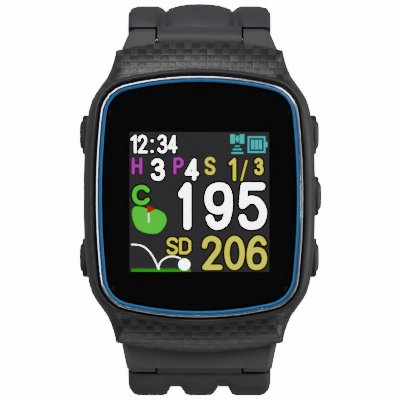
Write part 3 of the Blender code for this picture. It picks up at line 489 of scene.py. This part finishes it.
for place in ("upper_left", "lower_left", "upper_right", "middle_right", "lower_right"):
    FINISHES[f"button_{place}"] = (RESIN, 0.10 * MM)
    FINISHES[f"stem_clip_{place}"] = (BRIGHT_STEEL, 0.0)
    FINISHES[f"stem_seal_{place}"] = (SEAL, 0.0)
    FINISHES[f"tact_switch_{place}"] = (TIN, 0.0)
for number in range(1, 5):
    FINISHES[f"back_screw_{number}"] = (BRIGHT_STEEL, 0.05 * MM)
    FINISHES[f"charging_contact_{number}"] = (GOLD, 0.05 * MM)

pieces = {node: finished(node, material, bevel) for node, (material, bevel) in FINISHES.items()}


def blacken_lens_edge(lens):
    """The lens has a black edge, so that it carries no light, and two flat faces."""
    lens.materials.append(BLACK_PRINT)
    for polygon in lens.polygons:
        polygon.material_index = int(abs(polygon.normal.z) < LENS_EDGE_NORMAL_Z)
        polygon.use_smooth = False


def plain_bezel_and_walls(shell):
    """The bezel's crest and the case's upright walls are plain resin; the slopes between are woven."""
    shell.materials.append(RESIN)
    for polygon in shell.polygons:
        lowest = min(shell.vertices[i].co.z for i in polygon.vertices)
        if lowest > WEAVE_TOP_Z or polygon.normal.z < WALL_NORMAL_Z:
            polygon.material_index = 1


blacken_lens_edge(pieces["lens"].data)
plain_bezel_and_walls(pieces["top_shell"].data)


# ---------------------------------------------------------------- display

# Each glyph is strokes in a unit square, (across, up); True marks a stroke that is curved
GLYPHS = {
    "0": [(True, [(0.5, 1), (0.14, 0.86), (0, 0.5), (0.14, 0.14), (0.5, 0), (0.86, 0.14),
                  (1, 0.5), (0.86, 0.86), (0.5, 1)])],
    "1": [(False, [(0.0, 0.80), (0.85, 1.0), (0.85, 0.0)])],
    "2": [(True, [(0.02, 0.74), (0.14, 0.92), (0.5, 1.0), (0.88, 0.88), (0.88, 0.62), (0.55, 0.36),
                  (0.05, 0.0)]),
          (False, [(0.05, 0.0), (1.0, 0.0)])],
    "3": [(True, [(0.02, 0.84), (0.22, 0.97), (0.55, 1.0), (0.88, 0.86), (0.82, 0.62), (0.42, 0.53)]),
          (True, [(0.42, 0.53), (0.85, 0.46), (1.0, 0.26), (0.82, 0.05), (0.45, 0.0), (0.12, 0.06),
                  (0.0, 0.18)])],
    "4": [(False, [(0.72, 0.0), (0.72, 1.0), (0.0, 0.27), (1.0, 0.27)])],
    "5": [(False, [(0.92, 1.0), (0.10, 1.0), (0.02, 0.53)]),
          (True, [(0.02, 0.53), (0.35, 0.66), (0.75, 0.61), (1.0, 0.36), (0.85, 0.08), (0.45, 0.0),
                  (0.12, 0.06), (0.0, 0.20)])],
    "6": [(True, [(0.96, 0.84), (0.80, 0.97), (0.50, 1.0), (0.18, 0.84), (0.02, 0.52), (0.02, 0.28)]),
          (True, [(0.02, 0.30), (0.16, 0.06), (0.50, 0.0), (0.86, 0.08), (1.0, 0.31), (0.86, 0.54),
                  (0.50, 0.61), (0.16, 0.52), (0.02, 0.30)])],
    "9": [(True, [(0.98, 0.70), (0.84, 0.94), (0.50, 1.0), (0.14, 0.92), (0.0, 0.69), (0.14, 0.46),
                  (0.50, 0.39), (0.84, 0.48), (0.98, 0.70)]),
          (True, [(0.98, 0.70), (0.98, 0.45), (0.82, 0.12), (0.48, 0.0), (0.20, 0.05), (0.06, 0.19)])],
    "/": [(False, [(0.0, 0.0), (1.0, 1.0)])],
    "H": [(False, [(0, 0), (0, 1)]), (False, [(1, 0), (1, 1)]), (False, [(0, 0.5), (1, 0.5)])],
    "P": [(False, [(0, 0), (0, 1), (0.7, 1), (1, 0.85), (1, 0.62), (0.7, 0.46), (0, 0.46)])],
    "S": [(True, [(1.0, 0.84), (0.78, 1.0), (0.25, 1.0), (0.0, 0.80), (0.18, 0.58), (0.80, 0.42),
                  (1.0, 0.22), (0.78, 0.0), (0.22, 0.0), (0.0, 0.17)])],
    "C": [(True, [(1.0, 0.80), (0.78, 0.96), (0.48, 1.0), (0.14, 0.86), (0.0, 0.5), (0.14, 0.14),
                  (0.48, 0.0), (0.78, 0.04), (1.0, 0.20)])],
    "D": [(False, [(0, 0), (0, 1), (0.65, 1), (1, 0.8), (1, 0.2), (0.65, 0), (0, 0)])],
}
STROKE_END_STEPS = 8
DOT_STROKE = 0.01  # the length of a stroke that is a round dot
EDGE_WIDTH = 2.0


def smooth(points, steps=8):
    """A curve through the points (Catmull-Rom)."""
    closed = points[0] == points[-1]
    first = points[-2] if closed else points[0]
    final = points[1] if closed else points[-1]
    padded = [first] + list(points) + [final]
    curve = []
    for before, start, end, after in zip(padded, padded[1:], padded[2:], padded[3:]):
        for i in range(steps):
            t = i / steps
            curve.append(tuple(
                0.5 * (2 * s + (e - b) * t + (2 * b - 5 * s + 4 * e - a) * t ** 2
                       + (3 * s - b - 3 * e + a) * t ** 3)
                for b, s, e, a in zip(before, start, end, after)))
    curve.append(tuple(points[-1]))
    return curve


def on_screen(column, row):
    """A display dot's place in the CAD's frame."""
    return LIT_LEFT + column * DOT, LIT_TOP - row * DOT


def stroke(work, points, width, z):
    """A flat round-ended stroke through (column, row) points, as capsules that overlap."""
    half = width * DOT / 2
    places = [on_screen(*p) for p in points]
    for (x0, y0), (x1, y1) in zip(places, places[1:]):
        turn = math.atan2(y1 - y0, x1 - x0)
        outline = []
        for centre, start in (((x1, y1), -90), ((x0, y0), 90)):
            for i in range(STROKE_END_STEPS + 1):
                angle = turn + math.radians(start + i * 180 / STROKE_END_STEPS)
                outline.append(work.verts.new((centre[0] + half * math.cos(angle),
                                               centre[1] + half * math.sin(angle), z)))
        work.faces.new(outline)


def screen_piece(name, work, material):
    """Makes a piece of the display from a finished bmesh."""
    mesh = bpy.data.meshes.new(name)
    work.to_mesh(mesh)
    work.free()
    mesh.materials.append(material)
    made = bpy.data.objects.new(name, mesh)
    bpy.context.collection.objects.link(made)
    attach(made, "case")


def write_glyph(work, glyph, width, grown, z):
    """One glyph, (character, left, top, right, bottom) in dots, its strokes grown all round."""
    character, left, top, right, bottom = glyph
    inset = width / 2
    if character == ":":
        centre = (left + right) / 2
        for row in (top + inset, bottom - inset):
            stroke(work, [(centre, row), (centre + DOT_STROKE, row)], width * 1.1 + grown, z)
        return
    wide, high = right - left - width, bottom - top - width
    for curved, points in GLYPHS[character]:
        line = smooth(points) if curved else points
        placed = [(left + inset + u * wide, bottom - inset - v * high) for u, v in line]
        stroke(work, placed, width + grown, z)


def write(name, glyphs, width, material, edge=EDGE_WIDTH):
    """Glyphs, with a black edge behind them."""
    for suffix, grown, level, finish in (("", 0.0, DRAWN_LEVEL, material),
                                         ("_edge", 2 * edge, EDGE_LEVEL, OUTLINE)):
        work = bmesh.new()
        for glyph in glyphs:
            write_glyph(work, glyph, width, grown, SCREEN_Z + level)
        screen_piece(f"{name}{suffix}", work, finish)


def patches(name, outlines, material, level=DRAWN_LEVEL):
    """Flat filled shapes, each a list of (column, row) corners."""
    work = bmesh.new()
    for outline in outlines:
        work.faces.new([work.verts.new((*on_screen(*corner), SCREEN_Z + level)) for corner in outline])
    screen_piece(name, work, material)


def bars(name, boxes, material, level=DRAWN_LEVEL):
    """Flat rectangles, each (left, top, right, bottom) in dots."""
    outlines = [((left, top), (right, top), (right, bottom), (left, bottom))
                for left, top, right, bottom in boxes]
    patches(name, outlines, material, level)


def draw_field():
    """The display's dark grey ground, a little wider than the window over it."""
    margin = 2
    bars("display_field", [(-margin, -margin, DOTS + margin, DOTS + margin)], FIELD_LIT, FIELD_LEVEL)


def write_clock():
    digits = [("1", 1.5, 3.8, 9.5, 26.4), ("2", 10.5, 3.8, 22.5, 26.4), (":", 25.0, 9.6, 32.0, 26.0),
              ("3", 35.5, 3.8, 47.5, 26.4), ("4", 48.5, 3.8, 60.0, 26.4)]
    write("clock_digits", digits, 2.9, WHITE_LIT)


def write_hole_row():
    """The hole, its par, and which of its shots."""
    write("hole_mark", [("H", 2.8, 31.8, 16.2, 53.4)], 3.9, MAGENTA_LIT, 0.8)
    write("hole_digit", [("3", 27.4, 33.6, 44.2, 60.8)], 4.6, WHITE_LIT)
    write("par_mark", [("P", 55.2, 31.8, 68.2, 53.4)], 3.9, MAGENTA_LIT, 0.8)
    write("par_digit", [("4", 70.0, 33.6, 87.2, 60.8)], 4.4, WHITE_LIT)
    write("stroke_mark", [("S", 94.8, 31.8, 108.0, 53.4)], 3.8, YELLOW_LIT, 0.8)
    shots = [("1", 125.0, 32.7, 135.0, 61.6), ("3", 157.0, 32.7, 168.7, 54.0)]
    write("stroke_digits", shots, 4.0, YELLOW_LIT)
    write("stroke_divider", [("/", 139.8, 35.0, 148.6, 61.6)], 2.4, YELLOW_LIT, 1.2)


def write_distances():
    """The distance to the green's centre, and the one that allows for the slope."""
    write("centre_mark", [("C", 3.2, 66.6, 25.6, 92.0)], 5.6, GREEN_LIT)
    distance = [("1", 61.6, 63.8, 78.6, 122.6), ("9", 94.8, 63.8, 130.0, 122.6),
                ("5", 137.6, 63.8, 172.6, 122.6)]
    write("distance_digits", distance, 9.0, WHITE_LIT, 2.4)
    slope = [("S", 46.8, 133.0, 61.0, 153.8), ("D", 62.5, 133.0, 77.6, 153.8)]
    write("slope_mark", slope, 3.4, YELLOW_LIT)
    allowed = [("2", 90.8, 130.7, 117.0, 173.5), ("0", 119.5, 130.7, 145.0, 173.5),
               ("6", 147.5, 130.7, 173.2, 173.5)]
    write("slope_digits", allowed, 6.4, YELLOW_LIT)


def draw_green():
    """The green, with a pin and a flag."""
    outline = [(3.4, 99.0), (8.0, 93.6), (17.0, 94.6), (25.0, 97.6), (34.0, 97.4), (43.0, 102.0),
               (46.6, 109.5), (44.5, 118.0), (36.0, 127.0), (22.0, 127.2), (10.5, 122.0),
               (4.6, 111.0), (3.4, 99.0)]
    patches("green_shape", [smooth(outline, 5)[:-1]], GREEN_LIT)
    bars("pin_stick", [(23.4, 98.5, 25.1, 113.6)], PIN_LIT, LINE_LEVEL)
    patches("pin_flag", [[(22.0, 91.0), (32.6, 97.0), (22.6, 102.8)]], RED_LIT, FLAG_LEVEL)


def draw_bounce():
    """The ball's path: down to the grass and up again to where the ball is."""
    steps = 16
    shares = [i / steps for i in range(steps + 1)]
    fall = [(2.8 + 33.9 * share, 141.6 + 31.0 * share ** 3) for share in shares]
    rebound = [(36.7 + 27.0 * share ** 1.5,
                172.6 - 16.2 * math.sin(math.pi * share ** 1.5 * 0.78) ** 0.4) for share in shares]
    work = bmesh.new()
    for line in (fall, rebound):
        stroke(work, line, 1.15, SCREEN_Z + LINE_LEVEL)
    screen_piece("ball_path", work, WHITE_LIT)

    column, row, diameter = 69.0, 166.6, 14.6
    work = bmesh.new()
    stroke(work, [(column, row), (column + DOT_STROKE, row)], diameter, SCREEN_Z + BALL_LEVEL)
    screen_piece("ball_mark", work, WHITE_LIT)

    blades = [(3.0 + 3.0 * i, 171.4, 4.4 + 3.0 * i, 173.8) for i in range(25)]
    bars("grass_line", [(2.8, 173.8, 77.0, 175.6)] + blades, DEEP_GREEN_LIT)


def draw_battery_mark():
    frame_bars = [(148.6, 5.2, 171.2, 7.6), (148.6, 23.9, 171.2, 26.3), (148.6, 7.6, 151.0, 23.9),
                  (168.8, 7.6, 171.2, 23.9)]
    terminal = (171.2, 12.4, 173.7, 19.0)
    charge = [(152.9 + 4.9 * i, 9.6, 157.0 + 4.9 * i, 21.9) for i in range(3)]
    bars("battery_mark", frame_bars + [terminal] + charge, CYAN_LIT)


def draw_satellite_mark():
    """Two solar panels, the body between them, and three waves that spread downward."""
    panels = [(126.8, 2.8, 132.8, 14.6), (138.6, 2.8, 144.6, 14.6)]
    body = [(134.2, 4.4, 137.2, 12.8), (132.8, 7.4, 138.6, 9.6)]
    waves = [(132.6, 17.0, 138.8, 18.6), (130.0, 20.8, 141.4, 22.8), (128.2, 25.2, 143.4, 27.4)]
    bars("satellite_mark", panels + body + waves, CYAN_LIT)


draw_field()
write_clock()
write_hole_row()
write_distances()
draw_green()
draw_bounce()
draw_battery_mark()
draw_satellite_mark()


# ---------------------------------------------------------------- the lens's black border

def outline_at(node, z, inset):
    """A node's outline at a height, in order round the middle, drawn in a little."""
    near = 0.02 * MM
    points = {(round(v.co.x, 7), round(v.co.y, 7)) for v in node.data.vertices if abs(v.co.z - z) < near}
    ordered = sorted(points, key=lambda p: math.atan2(p[1], p[0]))
    return [(x * (1 - inset / math.hypot(x, y)), y * (1 - inset / math.hypot(x, y))) for x, y in ordered]


def lens_border():
    """The black print on the back of the glass, open over the display."""
    half = LIT_WIDTH / 2
    centre_y = LIT_TOP - half
    z = lens_low.z - 0.01 * MM

    def turn_of(point):
        return math.atan2(point[1] - centre_y, point[0])

    outline = outline_at(NODES["lens"], lens_low.z, 0.2 * MM)
    for across, up in ((-1, -1), (-1, 1), (1, -1), (1, 1)):
        # a point of the outline beyond each corner of the window
        nearest = min(outline, key=lambda p: abs(turn_of(p) - math.atan2(up, across)))
        reach = min(nearest[0] * across, (nearest[1] - centre_y) * up)
        outline.append((reach * across, centre_y + reach * up))
    outline.sort(key=turn_of)
    window = []
    for x, y in outline:
        # the window's edge in the same direction
        scale = half / max(abs(x), abs(y - centre_y))
        window.append((x * scale, centre_y + (y - centre_y) * scale))
    work = bmesh.new()
    outer = [work.verts.new((x, y, z)) for x, y in outline]
    inner = [work.verts.new((x, y, z)) for x, y in window]
    for i in range(len(outline)):
        j = (i + 1) % len(outline)
        work.faces.new((outer[i], outer[j], inner[j], inner[i]))
    screen_piece("lens_border_print", work, BLACK_PRINT)


lens_border()


# ---------------------------------------------------------------- floor, light and camera

def pale_floor():
    """A pale grey floor that the camera sees as white paper."""
    low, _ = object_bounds()
    corners = [(x * FLOOR_REACH, y * FLOOR_REACH, low.z) for x, y in ((-1, -1), (1, -1), (1, 1), (-1, 1))]
    mesh = bpy.data.meshes.new("floor")
    mesh.from_pydata(corners, [], [(0, 1, 2, 3)])
    floor = bpy.data.objects.new("floor", mesh)
    bpy.context.collection.objects.link(floor)
    made, tree, shader = new_material("pale_floor")
    shader.inputs["Base Color"].default_value = (0.25, 0.25, 0.25, 1)
    shader.inputs["Roughness"].default_value = 0.9
    shader.inputs["Specular IOR Level"].default_value = 0.1
    shader.inputs["Emission Color"].default_value = (1, 1, 1, 1)
    seen = tree.nodes.new("ShaderNodeLightPath").outputs["Is Camera Ray"]
    link(tree, math_node(tree, "MULTIPLY", seen, PAPER_WHITE), shader.inputs["Emission Strength"])
    mesh.materials.append(made)
    floor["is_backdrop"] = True


def area_light(name, place, size, power):
    """A rectangular light that looks at the middle of the case back."""
    data = bpy.data.lights.new(name, "AREA")
    data.shape = "RECTANGLE"
    data.size, data.size_y = size
    data.energy = power
    made = bpy.data.objects.new(name, data)
    made.location = place
    made.rotation_euler = (AIM - Vector(place)).to_track_quat("-Z", "Y").to_euler()
    bpy.context.collection.objects.link(made)


def studio_lights():
    """A key light, two low strips, and an arc of small lights.

    The steel ring's slope mirrors the arc along the left and the top.
    """
    area_light("key", (0.42, 0.45, 0.66), (0.5, 0.5), 5.0)
    area_light("low_right", (0.75, -0.05, 0.03), (1.1, 0.20), 4.0)
    area_light("low_front", (0.0, -0.78, 0.04), (1.2, 0.12), 1.6)
    for turn in ARC_TURNS:
        across, up = math.cos(math.radians(turn)), math.sin(math.radians(turn))
        area_light(f"arc_{turn}", (ARC_RADIUS * across, ARC_RADIUS * up, ARC_HEIGHT), (0.26, 0.09), 1.2)


def studio_world():
    """Weak light from all round, which the camera sees as white paper."""
    world = bpy.data.worlds.new("studio")
    world.use_nodes = True
    tree = world.node_tree
    ambient = tree.nodes["Background"]
    paper = tree.nodes.new("ShaderNodeBackground")
    for background, strength in ((ambient, AMBIENT), (paper, PAPER_WHITE)):
        background.inputs["Color"].default_value = (1, 1, 1, 1)
        background.inputs["Strength"].default_value = strength
    mixer = tree.nodes.new("ShaderNodeMixShader")
    link(tree, tree.nodes.new("ShaderNodeLightPath").outputs["Is Camera Ray"], mixer.inputs["Fac"])
    link(tree, ambient.outputs[0], mixer.inputs[1])
    link(tree, paper.outputs[0], mixer.inputs[2])
    link(tree, mixer.outputs[0], tree.nodes["World Output"].inputs["Surface"])
    bpy.context.scene.world = world


def front_camera():
    """Looks straight down at the display."""
    data = bpy.data.cameras.new("camera")
    data.sensor_width = SENSOR_WIDTH
    data.lens = SENSOR_WIDTH * CAMERA_DISTANCE / VIEW_WIDTH
    data.clip_start, data.clip_end = 0.05, 20.0
    camera = bpy.data.objects.new("camera", data)
    camera.location = (*CAMERA_SHIFT, lens_high.z + CAMERA_DISTANCE)
    bpy.context.collection.objects.link(camera)
    bpy.context.scene.camera = camera


pale_floor()
studio_lights()
studio_world()
front_camera()
